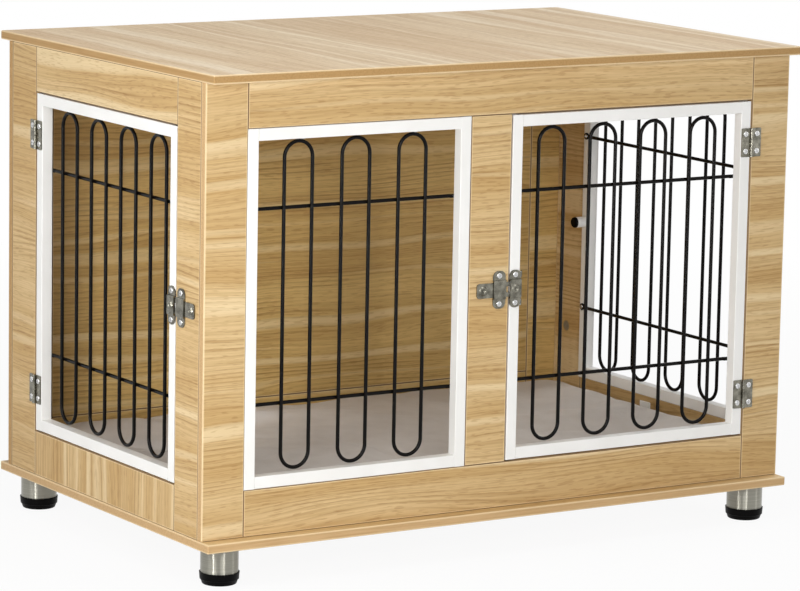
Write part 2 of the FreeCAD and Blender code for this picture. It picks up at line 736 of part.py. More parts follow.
def latch_screw_spots(x):
    return [(x, SHEET_FACE, step) for step in LATCH_SCREW_STEPS]


door_screw_spots = hinge_screw_spots("-") + latch_screw_spots(KEEPER_X)
case_screw_spots = hinge_screw_spots("+") + latch_screw_spots(BRACKET_X)

door_holes = copies("door_screw_hole", hardware_hole, door_screw_spots, OUTWARD)
door_eyelets = eyelet_spots("door_opening", "door_gap", GRILLE_HEAD)
door_holes += copies("door_eyelet_hole", grille_hole, door_eyelets, INWARD)
door_tubes = steel_frame("door_frame", "door_opening", "door_gap", door_holes)
door_grille = wire_grille("door_grille", "door_opening", "door_gap", "door_loop_pitch")
door_grille_screws = copies("door_grille_screw", grille_screw, door_eyelets, INWARD)
for door in ("front_door", "side_door"):
    standing(f"{door}_frame", door, door_tubes)
    standing(f"{door}_grille", door, [door_grille])
    standing(f"{door}_grille_screws", door, door_grille_screws)


def window_screw_spots(opening):
    """Screws through the far upright and the upper tube into the wood."""
    upright = [
        (f"window_gap + frame_tube - {opening}", "wall_mid", f"{sign}window_screw_spread / 2")
        for sign in ("-", "+")
    ]
    upper = [
        (f"-{quarters} * {opening} / 4", "wall_mid", "opening_tall / 2 - window_gap - frame_tube")
        for quarters in (1, 3)
    ]
    return upright, upper


window_grille_screws, window_fixings = [], []
for window, opening, pitch in (
    ("front_window", "window_opening", "window_loop_pitch"),
    ("side_window", "door_opening", "door_loop_pitch"),
):
    upright, upper = window_screw_spots(opening)
    eyelets = eyelet_spots(opening, "window_gap", GRILLE_HEAD)
    fixing_holes = copies(f"{window}_fixing_hole", window_hole, upright, "x")
    fixing_holes += copies(f"{window}_upper_hole", window_hole, upper, "-z")
    eyelet_holes = copies(f"{window}_eyelet_hole", grille_hole, eyelets, INWARD)
    tubes = steel_frame(f"{window}_tube", opening, "window_gap", fixing_holes + eyelet_holes)
    standing(f"{window}_frame", window, tubes)
    grille = wire_grille(f"{window}_wires", opening, "window_gap", pitch)
    standing(f"{window}_grille", window, [grille])
    at, turn = STANDS[window]
    fixings = copies(f"{window}_fixing", window_screw, upright, "x")
    fixings += copies(f"{window}_upper_fixing", window_screw, upper, "-z")
    window_fixings.append(gathered(f"{window}_fixings", fixings, at, turn))
    eyelet_screws = copies(f"{window}_grille_screw", grille_screw, eyelets, INWARD)
    window_grille_screws.append(gathered(f"{window}_grille_screws", eyelet_screws, at, turn))
    bores = gathered(f"{window}_bores", fixing_holes, at, turn)
    if window == "front_window":
        drilled["front_left_stile"].append(bores)
        drilled["front_top_rail"].append(bores)
    else:
        drilled["right_side_front_stile"].append(bores)
        drilled["right_side_top_rail"].append(bores)
node("window_screws", gathered("window_screw_group", window_fixings))
node("window_grille_screws", gathered("window_grille_screw_group", window_grille_screws))

# ---------------------------------------------------------------- hinges

# A hinge in its own frame: the pin stands at x = 0, the wood's face is y = 0.
KNUCKLE = "knuckle_thick / 2"
NOTCH = f"({KNUCKLE} + knuckle_clearance)"
END_KNUCKLE = "((hinge_tall - knuckle_length) / 2 - knuckle_gap)"


def knuckle(name, start, length):
    return rod(name, KNUCKLE, length, (0, "-pin_proud", start))


def leaf(name, first_x, knuckles, notches, screw_x):
    """A sheet leaf with its knuckles, cleared round the other leaf's."""
    sheet_blank = block(
        name + "_sheet",
        (first_x, "-leaf_thick", "-hinge_tall / 2"),
        ("hinge_span / 2", "leaf_thick", "hinge_tall"),
    )
    sheet_round = rounded(
        name + "_sheet_round", sheet_blank, "leaf_corner",
        lambda edge: lies_along(edge, Vector(0, 1, 0)) and abs(edge.CenterOfMass.x) > 1,
    )
    cleared = cut(name + "_cleared", sheet_round, notches)
    whole = joined(name + "_whole", [cleared] + knuckles)
    bore = rod(
        name + "_bore", "pin_thick / 2 + pin_clearance", "hinge_tall",
        (0, "-pin_proud", "-hinge_tall / 2"),
    )
    screw_spots = [(screw_x, SHEET_FACE, step) for step in HINGE_SCREW_STEPS]
    holes = copies(name + "_hole", hardware_hole, screw_spots, OUTWARD)
    return cut(name, whole, [bore] + holes)


middle_notch = block(
    "middle_notch",
    (f"-{NOTCH}", "-2 * leaf_thick", "-knuckle_length / 2 - knuckle_gap"),
    (f"2 * {NOTCH}", "4 * leaf_thick", "knuckle_length + 2 * knuckle_gap"),
)
end_notches = [
    block(
        f"end_notch_{i}",
        (f"-{NOTCH}", "-2 * leaf_thick", start),
        (f"2 * {NOTCH}", "4 * leaf_thick", f"{END_KNUCKLE} + 2 * knuckle_gap"),
    )
    for i, start in enumerate(("-hinge_tall / 2 - knuckle_gap", "knuckle_length / 2"), start=1)
]
fixed_knuckles = [
    knuckle("fixed_knuckle_low", "-hinge_tall / 2", END_KNUCKLE),
    knuckle("fixed_knuckle_high", f"hinge_tall / 2 - {END_KNUCKLE}", END_KNUCKLE),
]
door_knuckles = [knuckle("door_knuckle", "-knuckle_length / 2", "knuckle_length")]
fixed_leaf = leaf("fixed_leaf", 0, fixed_knuckles, [middle_notch], "hinge_screw_reach")
door_leaf = leaf("door_leaf", "-hinge_span / 2", door_knuckles, end_notches, "-hinge_screw_reach")
hinge_pin = rod("hinge_pin", "pin_thick / 2", "hinge_tall", (0, "-pin_proud", "-hinge_tall / 2"))

HINGE_SPOTS = [(PIN_X, 0, level) for level in HINGE_LEVELS]
fixed_leaves = copies("fixed_leaf_copy", fixed_leaf, HINGE_SPOTS, "z")
door_leaves = copies("door_leaf_copy", door_leaf, HINGE_SPOTS, "z")
pins = copies("hinge_pin_copy", hinge_pin, HINGE_SPOTS, "z")
door_screws = copies("door_screw", hardware_screw, door_screw_spots, OUTWARD)
case_screws = copies("case_screw", hardware_screw, case_screw_spots, OUTWARD)
case_holes = copies("case_screw_hole", hardware_hole, case_screw_spots, OUTWARD)
for door in ("front_door", "side_door"):
    standing(f"{door}_hinge_leaves", door, door_leaves)
    standing(f"{door}_screws", door, door_screws)
fixed_leaf_groups, pin_groups, case_screw_groups = [], [], []
for door, stiles in (
    ("front_door", ("front_right_stile", "front_centre_stile")),
    ("side_door", ("left_side_rear_stile", "left_side_front_stile")),
):
    at, turn = STANDS[door]
    fixed_leaf_groups.append(gathered(f"{door}_fixed_leaves", fixed_leaves, at, turn))
    pin_groups.append(gathered(f"{door}_pins", pins, at, turn))
    case_screw_groups.append(gathered(f"{door}_case_screws", case_screws, at, turn))
    bores = gathered(f"{door}_case_bores", case_holes, at, turn)
    for stile in stiles:
        drilled[stile].append(bores)
node("hinge_fixed_leaves", gathered("fixed_leaf_group", fixed_leaf_groups))
node("hinge_pins", gathered("hinge_pin_group", pin_groups))
node("case_screws", gathered("case_screw_group", case_screw_groups))

# ---------------------------------------------------------------- latches


def pill(name, x, width):
    """A flat plate with rounded ends, from its outer face back to the wood."""
    blank = block(
        name + "_blank",
        (f"{x} - {width} / 2", "-leaf_thick", "-latch_tall / 2"),
        (width, "leaf_thick", "latch_tall"),
    )
    return rounded(
        name, blank, "latch_corner", lambda edge: lies_along(edge, Vector(0, 1, 0))
    )


def bridge(name, x, width):
    """The raised middle of a bracket or keeper, before its tunnel is cut."""
    blank = block(
        name + "_blank",
        (f"{x} - {width} / 2", "-bridge_top", "-bridge_tall / 2"),
        (width, "bridge_top", "bridge_tall"),
    )
    return rounded(
        name, blank, "edge_ease",
        lambda edge: lies_along(edge, Vector(1, 0, 0)) and edge.CenterOfMass.y < -1,
    )


def tunnel(name, first_x, length):
    return block(
        name,
        (first_x, "-bolt_top", "-bolt_tall / 2 - bolt_clearance"),
        (length, "2 * bolt_top", "bolt_tall + 2 * bolt_clearance"),
    )


def latch_holes(name, x):
    return copies(name, hardware_hole, latch_screw_spots(x), OUTWARD)


def boss(name, x, face):
    """A round thumb boss, before its dimple is pressed. Its foot sinks into the sheet."""
    piece = doc.addObject("Part::Cone", name)
    piece.setExpression("Radius1", formula("boss_wide / 2"))
    piece.setExpression("Radius2", formula("boss_wide / 2 - boss_high"))
    piece.setExpression("Height", formula("boss_high"))
    return place(piece, (x, f"-{face}", 0), ALONG["-y"])


def dimple(name, x, face):
    """The ball whose print is the boss's dimple, one boss height deep."""
    ball = doc.addObject("Part::Sphere", name)
    ball.setExpression("Radius", formula("boss_dimple / 2"))
    return place(ball, (x, f"-{face} - boss_dimple / 2", 0))


bracket = cut(
    "bracket",
    joined("bracket_whole", [
        pill("bracket_plate", BRACKET_X, "bracket_width"),
        bridge("bracket_bridge", BRACKET_X, "bracket_width"),
    ]),
    [tunnel("bracket_tunnel", f"{BRACKET_X} - bracket_width", "2 * bracket_width")]
    + latch_holes("bracket_hole", BRACKET_X),
)

EAR_ANGLE = 35
EAR_TURN = Turn(Vector(0, 0, 1), EAR_ANGLE)
EAR_X = f"{KEEPER_X} + keeper_width / 2 - ear_thick / 2"
ears = []
for name, start in (("ear_low", "-latch_screw_spread / 2 - ear_tall / 2"),
                    ("ear_high", "latch_screw_spread / 2 - ear_tall / 2")):
    ear = block(name, ORIGIN, ("ear_long", "ear_thick", "ear_tall"))
    ears.append(place(ear, (EAR_X, "-leaf_thick", start), EAR_TURN))
POCKET_X = f"{KEEPER_X} - keeper_width"
keeper = cut(
    "keeper",
    joined("keeper_whole", [
        pill("keeper_plate", KEEPER_X, "keeper_width"),
        bridge("keeper_bridge", KEEPER_X, "keeper_width"),
        boss("keeper_boss", KEEPER_X, "bridge_top"),
        *ears,
    ]),
    [
        tunnel("keeper_pocket", POCKET_X, "3 * keeper_width / 2 - keeper_wall"),
        dimple("keeper_dimple", KEEPER_X, "bridge_top"),
    ]
    + latch_holes("keeper_hole", KEEPER_X),
)

BOLT_X = f"{DOOR_EDGE} - bolt_back"
BOLT_FACE = "(bolt_clearance + bolt_thick)"
BOSS_X = f"{BOLT_X} + boss_reach"
bolt_blank = block(
    "bolt_blank",
    (BOLT_X, f"-{BOLT_FACE}", "-bolt_tall / 2"),
    ("bolt_length", "bolt_thick", "bolt_tall"),
)
bolt_strip = rounded(
    "bolt_strip", bolt_blank, "bolt_corner",
    lambda edge: lies_along(edge, Vector(0, 1, 0))
    and edge.CenterOfMass.x < -size("door_opening") - size("bracket_reach"),
)
bolt = cut(
    "bolt",
    joined("bolt_whole", [bolt_strip, boss("bolt_boss", BOSS_X, BOLT_FACE)]),
    [
        block(
            "prong_gap",
            (f"{BOLT_X} + bolt_length - prong_long", "-2 * bolt_top", "-prong_notch / 2"),
            ("2 * prong_long", "2 * bolt_top", "prong_notch"),
        ),
        dimple("bolt_dimple", BOSS_X, BOLT_FACE),
    ],
)
for door in ("front_door", "side_door"):
    short = door.split("_")[0]
    standing(f"{short}_latch_bracket", door, [bracket])
    standing(f"{short}_latch_keeper", door, [keeper])
    standing(f"{short}_latch_bolt", door, [bolt])

# ---------------------------------------------------------------- peg inside the side window

PEG_SPOT = ("-window_gap - frame_tube / 2", "frame_tube", 0)
peg = rod("peg", "peg_thick / 2", "peg_long", PEG_SPOT, "y")
plug_blank = rod(
    "plug_blank", "peg_thick / 2", "plug_long",
    (PEG_SPOT[0], "frame_tube + peg_long", 0), "y",
)
plug = rounded(
    "plug", plug_blank, "plug_round",
    lambda edge: edge.Closed
    and edge.CenterOfMass.y > size("frame_tube") + size("peg_long") + size("plug_long") / 2,
)
standing("window_peg", "side_window", [peg])
standing("window_peg_plug", "side_window", [plug])

# ---------------------------------------------------------------- feet

RIM = "(foot_thick / 2)"
leg_tube_blank = rod("leg_tube_blank", RIM, "leg_height - cap_floor", (0, 0, "cap_floor"))
leg_bore = rod(
    "leg_bore", f"{RIM} - foot_wall", "leg_height - cap_floor - foot_plate", (0, 0, "cap_floor")
)
foot_screw_spots = [
    (
        f"{math.cos(math.radians(angle)):.6f} * foot_screw_circle / 2",
        f"{math.sin(math.radians(angle)):.6f} * foot_screw_circle / 2",
        "leg_height - foot_plate",
    )
    for angle in (30, 150, 270)
]
foot_screws = copies("foot_screw_copy", foot_screw, foot_screw_spots, "-z")
foot_holes = copies("foot_screw_hole", foot_hole, foot_screw_spots, "-z")
leg_tube = cut("leg_tube", leg_tube_blank, [leg_bore] + foot_holes)


def foot_cap_master():
    """A plastic cup turned about its axis, with a flared rim over the end of the leg tube."""
    body, planes = new_body("foot_cap_master")
    sketch = new_sketch(body, planes["XZ_Plane"], "cap_profile")
    corners = [
        ("bottom", "foot_thick / 2 - cap_taper", "0"),
        ("side", "foot_thick / 2 - cap_groove / 2", "cap_step"),
        ("step", "foot_thick / 2 + cap_groove", "cap_step + cap_groove"),
        ("rim", "foot_thick / 2 + cap_flare", "cap_tall"),
        ("mouth", "foot_thick / 2 + cap_fit", "cap_tall"),
        ("seat", "foot_thick / 2 + cap_fit", "cap_floor"),
    ]
    rough = [(22.5, 0), (24.6, 6), (25.8, 6.8), (26.5, 16), (25.1, 16), (25.1, 8)]
    lines = outline(sketch, [(0, 0)] + rough + [(0, 8)])
    sketch.addConstraint(Sketcher.Constraint("Coincident", lines[0], 1, -1, 1))
    sketch.addConstraint(Sketcher.Constraint("PointOnObject", lines[-1], 1, -2))
    sketch.addConstraint(Sketcher.Constraint("Horizontal", lines[0]))
    sketch.addConstraint(Sketcher.Constraint("Horizontal", lines[-2]))
    for line, (name, across, up) in zip(lines, corners):
        dimension(sketch, name + "_across", across, "DistanceX", -1, 1, line, 2)
        if up != "0":
            dimension(sketch, name + "_up", up, "DistanceY", -1, 1, line, 2)
    turned = body.newObject("PartDesign::Revolution", "cap_turned")
    turned.Profile = sketch
    turned.ReferenceAxis = (sketch, ["V_Axis"])
    turned.Angle = 360
    doc.recompute()
    bottom = [
        f"Edge{i}"
        for i, edge in enumerate(turned.Shape.Edges, start=1)
        if edge.Closed and abs(edge.CenterOfMass.z) < 0.01
    ]
    ease = body.newObject("PartDesign::Fillet", "cap_ease")
    ease.Base = (turned, bottom)
    ease.setExpression("Radius", formula("cap_round"))
    return body


foot_cap = foot_cap_master()
foot_screw_groups = []
for corner, x, y in (
    ("front_left", "-foot_x", "-foot_y"),
    ("front_right", "foot_x", "-foot_y"),
    ("rear_left", "-foot_x", "foot_y"),
    ("rear_right", "foot_x", "foot_y"),
):
    node(f"leg_{corner}", gathered(f"leg_{corner}_set", [leg_tube], (x, y, 0)))
    node(f"foot_cap_{corner}", gathered(f"foot_cap_{corner}_set", [foot_cap], (x, y, 0)))
    foot_screw_groups.append(gathered(f"foot_screws_{corner}", foot_screws, (x, y, 0)))
    drilled["base_board"].append(gathered(f"foot_bores_{corner}", foot_holes, (x, y, 0)))
node("leg_screws", gathered("leg_screw_group", foot_screw_groups))

# ---------------------------------------------------------------- boards, drilled

for name, blank in blanks.items():
    node(name, cut(name + "_drilled", blank, drilled[name]))

# ---------------------------------------------------------------- cushion

# Sections of the cushion: height as a share of the crown, then how far the outline is set in.
CUSHION_SECTIONS = ((0.0, 9.0), (0.2, 1.5), (0.45, 0.0), (0.72, 2.5), (0.9, 16.0), (1.0, 70.0))


def cushion_outline(inset, height):
    """A rounded rectangle whose sides are drawn in between its corners."""
    half_x = size("side_inner") - size("cushion_gap") - inset
    half_y = size("rear_inner") - size("cushion_gap") - inset
    radius = size("cushion_corner")
    drawn = size("cushion_drawn")
    bend = radius * (1 - math.sqrt(0.5))
    signs = ((1, 1), (-1, 1), (-1, -1), (1, -1))
    edges = []
    for (a, b), (c, d) in zip(signs, signs[1:] + signs[:1]):
        on_side = Vector(a * half_x, b * (half_y - radius), height)
        on_end = Vector(a * (half_x - radius), b * half_y, height)
        middle = Vector(a * (half_x - bend), b * (half_y - bend), height)
        first, last = (on_side, on_end) if a == b else (on_end, on_side)
        edges.append(Part.Arc(first, middle, last).toShape())
        if b == d:
            waist = Vector(0, b * (half_y - drawn), height)
            following = Vector(c * (half_x - radius), d * half_y, height)
        else:
            waist = Vector(a * (half_x - drawn), 0, height)
            following = Vector(c * half_x, d * (half_y - radius), height)
        edges.append(Part.Arc(last, waist, following).toShape())
    return Part.Wire(edges)


cushion = doc.addObject("Part::Feature", "cushion_form")
cushion.Shape = Part.makeLoft(
    [cushion_outline(inset, share * size("cushion_tall")) for share, inset in CUSHION_SECTIONS],
    True,
)
place(cushion, (0, 0, "base_top"))
node("cushion", cushion)

# ---------------------------------------------------------------- check and write

doc.recompute()
for thing in doc.Objects:
    if "Invalid" in thing.State or "Error" in thing.State:
        raise RuntimeError(f"{thing.Name} failed: {thing.State}")
os.makedirs("parts", exist_ok=True)
for piece in NODES:
    shape = piece.Shape
    if shape.isNull() or not shape.isValid():
        raise RuntimeError(f"{piece.Label} has no valid shape")
    shape.exportStep(f"parts/{piece.Label}.step")
    print(f"{piece.Label}: {len(shape.Solids)} solids, {shape.Volume / 1000:.1f} cm3")
print(f"{len(NODES)} nodes")
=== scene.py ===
# %% [markdown]
# # Dog crate end table: its looks
# The construction comes from the frame, in metres, with +Z up and the front towards -Y. This lesson
# gives every board, tube, wire and screw its finish, sews the cushion, and sets up a plain studio.
# We start by loading the frame. Nothing that we add may grow the table.

# %% Load the frame
import json
import math
import random
from functools import partial

import bpy
from mathutils import Matrix, Vector


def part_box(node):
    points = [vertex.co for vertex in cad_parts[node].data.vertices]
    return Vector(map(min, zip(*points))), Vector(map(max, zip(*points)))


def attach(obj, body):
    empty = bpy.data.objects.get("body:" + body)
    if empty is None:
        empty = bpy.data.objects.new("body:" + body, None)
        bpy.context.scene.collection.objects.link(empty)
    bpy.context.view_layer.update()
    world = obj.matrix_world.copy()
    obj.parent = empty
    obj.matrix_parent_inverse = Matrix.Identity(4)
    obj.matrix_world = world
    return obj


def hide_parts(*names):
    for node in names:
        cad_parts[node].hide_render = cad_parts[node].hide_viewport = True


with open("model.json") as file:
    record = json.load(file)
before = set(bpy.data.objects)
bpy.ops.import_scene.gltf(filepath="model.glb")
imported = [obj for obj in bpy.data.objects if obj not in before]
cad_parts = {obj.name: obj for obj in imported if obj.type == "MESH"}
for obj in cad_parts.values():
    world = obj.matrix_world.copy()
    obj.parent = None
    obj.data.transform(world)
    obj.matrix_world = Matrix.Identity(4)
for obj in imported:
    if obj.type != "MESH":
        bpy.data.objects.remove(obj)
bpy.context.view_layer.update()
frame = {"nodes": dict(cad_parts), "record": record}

scene = bpy.context.scene
MM = 0.001
print("pieces to finish:", len(frame["nodes"]))

# %% [markdown]
# ## The camera
# The photograph looks at the front-left corner through a long lens, from a little above. A
# camera is a place, three angles and a lens. We build its axes by hand from those angles, as
# this shows best what each angle does, and turn them into one matrix.

# %% Camera at the photograph's angle
PHOTO_WIDTH = 800
FOCAL_PIXELS = 4053.3
SENSOR_MM = 36.0
CAMERA_AT = Vector((-2.9717, -4.7308, 1.2446))
CAMERA_AZIMUTH, CAMERA_ELEVATION, CAMERA_ROLL = -32.195, 9.504, 1.089


def camera_axes(azimuth, elevation, roll):
    """Right, up and backward axes of a camera, from angles in degrees."""
    turn, rise, lean = (math.radians(angle) for angle in (azimuth, elevation, roll))
    ahead = Vector((-math.sin(turn), math.cos(turn), 0)) * math.cos(rise)
    forward = ahead - Vector((0, 0, math.sin(rise)))
    level = forward.cross(Vector((0, 0, 1))).normalized()
    upright = level.cross(forward)
    right = math.cos(lean) * level + math.sin(lean) * upright
    up = math.cos(lean) * upright - math.sin(lean) * level
    return right, up, -forward


camera = bpy.data.objects.new("camera", bpy.data.cameras.new("camera"))
scene.collection.objects.link(camera)
camera.data.sensor_width = SENSOR_MM
camera.data.lens = FOCAL_PIXELS / PHOTO_WIDTH * SENSOR_MM
axes = Matrix(camera_axes(CAMERA_AZIMUTH, CAMERA_ELEVATION, CAMERA_ROLL)).transposed()
camera.matrix_world = Matrix.Translation(CAMERA_AT) @ axes.to_4x4()
scene.camera = camera
scene.view_settings.view_transform = "Standard"
print(f"lens {camera.data.lens:.1f} mm")

# %% [markdown]
# ## Two helpers for materials
# A material is a small network. One function adds any node with its settings and links, so that
# a finish reads as a list of steps. Another turns the hex colour that an artist writes into the
# linear light that the renderer adds up.

# %% Helpers for materials
MIX_SHARE, MIX_FIRST, MIX_SECOND, MIX_RESULT = 0, 6, 7, 2  # the Mix node's colour sockets


def linear(hex_colour):
    """sRGB hex to linear red, green, blue and alpha."""
    channels = [int(hex_colour[i:i + 2], 16) / 255 for i in (1, 3, 5)]
    return [c / 12.92 if c <= 0.04045 else ((c + 0.055) / 1.055) ** 2.4 for c in channels] + [1.0]


def add(tree, kind, inputs, output=0, stops=(), **settings):
    """One node with its settings. An input is a value, or the socket that feeds it."""
    made = tree.nodes.new("ShaderNode" + kind)
    for name, value in settings.items():
        setattr(made, name, value)
    for key, source in inputs.items():
        if isinstance(source, bpy.types.NodeSocket):
            tree.links.new(source, made.inputs[key])
        else:
            made.inputs[key].default_value = source
    for number, (position, colour) in enumerate(stops):
        marks = made.color_ramp.elements
        mark = marks[number] if number < len(marks) else marks.new(position)
        mark.position, mark.color = position, linear(colour)
    return made.outputs[output] if made.outputs else made


def finish(name):
    """An empty material, and a call that adds nodes to it."""
    material = bpy.data.materials.new(name)
    material.use_nodes = True
    material.node_tree.nodes.clear()
    return material, partial(add, material.node_tree)


def layered(node, colour, layers):
    """A colour with others laid over it in turn, each by its share and its way of mixing."""
    for share, above, way in layers:
        sockets = {MIX_SHARE: share, MIX_FIRST: colour, MIX_SECOND: above}
        colour = node("Mix", sockets, MIX_RESULT, data_type="RGBA", blend_type=way)
    return colour


def cover(piece, material):
    """Give one piece of the frame its finish."""
    mesh = frame["nodes"][piece].data
    mesh.materials.clear()
    mesh.materials.append(material)


def pieces_of(slot):
    """The pieces to which the record gives one finish."""
    return [row["node"] for row in frame["record"]["subparts"] if row["material_slot"] == slot]


print("pieces by finish:", {slot: len(pieces_of(slot)) for slot in ("oak_board", "screw_steel")})

# %% [markdown]
# ## The boards: particle board with an oak foil
# Each board is particle board, wrapped in a printed and embossed oak foil, with a plain edge
# band glued round it. The grain of sawn oak is what is left when bent annual rings are sliced
# flat: long arcs where the cut runs along a ring, and close straight lines where it crosses
# many. We draw it in that way. A height field rises across the board, a long soft noise bends
# it, and its contour lines are the rings. Fibres, pores and paler bands lie along the same bent
# flow. The seed moves each board to another part of the tree, so that no two are alike.
#
# The foil has a soft silk gloss. Its band shows as a plain edge. A pale line runs along each
# rounded edge: it is partly the band's lighter trim, where it was trimmed, and partly a painted
# highlight where the rounded edge catches the light. A thin dark line where two boards meet is
# painted shade in the groove between them.

# %% Oak foil: sizes and colours
RING_PITCH = 7.5       # all in millimetres
BEND = (420, 80)       # length and width of the wave that bends the grain
BEND_DEPTH = 52.0
ARCS = (520, 105)      # length and width of the hills that turn straight rings to arcs
ARC_RINGS = 5.0
FIBRES = (130, 2.4)    # real fibres are 0.2 mm wide, and are drawn as coarse as they show
PORES = (16, 1.3)      # real pores are 0.3 mm wide
PATCHES = (300, 38)
TONES = (900, 46)
STREAKS = (1500, 19)
# The pale line along each edge is partly the band's lighter trim and partly a painted highlight
# where the rounded edge catches the light.
EDGE_ROUND, PALE_AND_HIGHLIGHT_LINE, JOINT_SHADE_LINE = 1.2, 2.4, 0.9
PALE_SHARE = 0.68
OAK = {  # the top palette is paler, a painted sheen for the gloss of light on it, and the rear wall palette is warmer and brighter, painted light for the light bounced inside the cabin
    "front": {
        "dark": "#a27b44", "mid": "#c6a46e", "light": "#d7ba89", "streak": "#e9d3a8",
        "band": "#c9a677",
    },
    "top": {
        "dark": "#bb9b71", "mid": "#ceb28c", "light": "#dac3a0", "streak": "#e8d8bd",
        "band": "#b18d5a",
    },
    "inside": {
        "dark": "#947138", "mid": "#c6a262", "light": "#d9b876", "streak": "#ead39f",
        "band": "#b58f5a",
    },
}
# Painted shade: a thin dark line where two boards meet, for the shade in the groove between their
# rounded edges.
PALE_BAND_AND_HIGHLIGHT, JOINT_SHADE, JOINT_SHADE_SHARE = "#ead1a6", "#6b4d29", 0.85
BOARD_FIBRES, BAND_FIBRES, BOARD_PORES = 0.6, 0.5, 0.3  # how strongly they darken the colour
CORNER_STILES = ("front_left_stile", "front_right_stile")
FREE_BOARDS = ("top_board", "base_board")  # no other board meets their edges
RING_SHARE = {"front_top_rail": 0.6, "top_board": 0.7}  # plainer boards than the rest


def oak_foil(board, grain, seed, shade):
    """Oak foil for one board, with its grain along x, y or z and its edges banded."""
    low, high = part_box(board)
    half, middle = (high - low) / 2, (high + low) / 2
    thick = min(range(3), key=lambda axis: half[axis])
    along = "xyz".index(grain)
    across = 3 - thick - along
    aside = Vector((0, 0, 0))
    aside[across] = 1.0
    oak = OAK[shade]
    material, node = finish("oak_foil_" + board)
    point = node("TexCoord", {}, "Object")

    def marks(start, size, detail):
        """Noise with marks of the given length along the grain and width across it."""
        fineness = [1 / (size[1] * MM)] * 3
        fineness[along] = 1 / (size[0] * MM)
        moved = [seed * 5.3 + size[1]] * 3
        at = node("VectorMath", {0: start, 1: fineness, 2: moved}, operation="MULTIPLY_ADD")
        return node("TexNoise", {"Vector": at, "Scale": 1.0, "Detail": detail})

    flow = node(
        "VectorMath", {0: marks(point, BEND, 1.0), 1: aside * BEND_DEPTH * MM, 2: point},
        operation="MULTIPLY_ADD",
    )
    level = node(
        "VectorMath", {0: flow, 1: aside / (RING_PITCH * MM)}, "Value", operation="DOT_PRODUCT"
    )
    level = node(
        "Math", {0: marks(flow, ARCS, 0.5), 1: ARC_RINGS, 2: level}, operation="MULTIPLY_ADD"
    )
    ring = node("ValToRGB", {0: node("Math", {0: level}, operation="FRACT")}, stops=[
        (0.0, "#000000"), (0.5, "#2a2a2a"), (0.86, "#e4e4e4"), (0.94, "#ffffff"), (1.0, "#000000"),
    ])
    patches = node("ValToRGB", {0: marks(flow, PATCHES, 1.0)}, stops=[
        (0.38, "#303030"), (0.62, "#d8d8d8"),
    ])
    tones = node("ValToRGB", {0: marks(flow, TONES, 1.0)}, stops=[
        (0.36, oak["mid"]), (0.6, oak["light"]),
    ])
    ringed = node("Math", {0: ring, 1: patches}, operation="MULTIPLY")
    ringed = node("Math", {0: ringed, 1: RING_SHARE.get(board, 1.0)}, operation="MULTIPLY")
    fibres = node("ValToRGB", {0: marks(flow, FIBRES, 2.0)}, stops=[
        (0.32, "#ddd3c0"), (0.6, "#ffffff"),
    ])
    streak = node("ValToRGB", {0: marks(flow, STREAKS, 0.0)}, stops=[
        (0.62, "#000000"), (0.64, "#8c8c8c"), (0.74, "#d4d4d4"),
    ])
    pores = node("ValToRGB", {0: marks(flow, PORES, 0.0)}, stops=[
        (0.3, "#b99b72"), (0.4, "#ffffff"),
    ])

    inset = node("VectorMath", {0: point, 1: middle}, operation="SUBTRACT")
    inset = node("VectorMath", {0: inset}, operation="ABSOLUTE")
    inset = node("VectorMath", {0: half, 1: inset}, operation="SUBTRACT")
    inset = node("SeparateXYZ", {0: inset}).node.outputs
    inward = node("Math", {0: inset[along], 1: inset[across]}, operation="MINIMUM")
    banded = node("Math", {0: inset[thick], 1: EDGE_ROUND * MM}, operation="GREATER_THAN")
    rim = node("Math", {0: inward, 1: inset[thick]}, operation="MAXIMUM")
    # painted highlight: a pale line along the rounded edges, partly the band's lighter trim
    pale = node("MapRange", {0: rim, 1: PALE_AND_HIGHLIGHT_LINE * MM, 2: EDGE_ROUND * MM, 4: PALE_SHARE})
    # painted shade in the groove where two boards meet, left off the outer corner of the corner
    # stiles
    shade_in_joint = node("Math", {0: inward, 1: JOINT_SHADE_LINE * MM}, operation="LESS_THAN")
    shade_in_joint = node("Math", {0: shade_in_joint, 1: banded}, operation="SUBTRACT", use_clamp=True)
    shade_in_joint = node("Math", {0: shade_in_joint, 1: JOINT_SHADE_SHARE}, operation="MULTIPLY")
    if board in CORNER_STILES:
        out_x = node("Math", {0: node("SeparateXYZ", {0: point}, "X")}, operation="ABSOLUTE")
        corner = max(abs(low.x), abs(high.x)) - PALE_AND_HIGHLIGHT_LINE * MM
        joined = node("Math", {0: out_x, 1: corner}, operation="LESS_THAN")
        shade_in_joint = node("Math", {0: shade_in_joint, 1: joined}, operation="MULTIPLY")
    band = layered(node, linear(oak["band"]), [(BAND_FIBRES, fibres, "MULTIPLY")])
    colour = layered(node, tones, [
        (ringed, linear(oak["dark"]), "MIX"),
        (BOARD_FIBRES, fibres, "MULTIPLY"),
        (streak, linear(oak["streak"]), "MIX"),
        (BOARD_PORES, pores, "MULTIPLY"),
        (banded, band, "MIX"),
        (pale, linear(PALE_BAND_AND_HIGHLIGHT), "MIX"),
        (0.0 if board in FREE_BOARDS else shade_in_joint, linear(JOINT_SHADE), "MIX"),
    ])
    gloss = node("MapRange", {0: fibres, 3: 0.62, 4: 0.5})
    relief = node("Math", {0: fibres, 1: pores}, operation="MULTIPLY")
    bump = node("Bump", {"Height": relief, "Strength": 0.15, "Distance": 0.2 * MM})
    surface = {"Base Color": colour, "Roughness": gloss, "Normal": bump}
    shader = node("BsdfPrincipled", surface | {"IOR": 1.5, "Specular IOR Level": 0.35})
    node("OutputMaterial", {"Surface": shader})
    return material


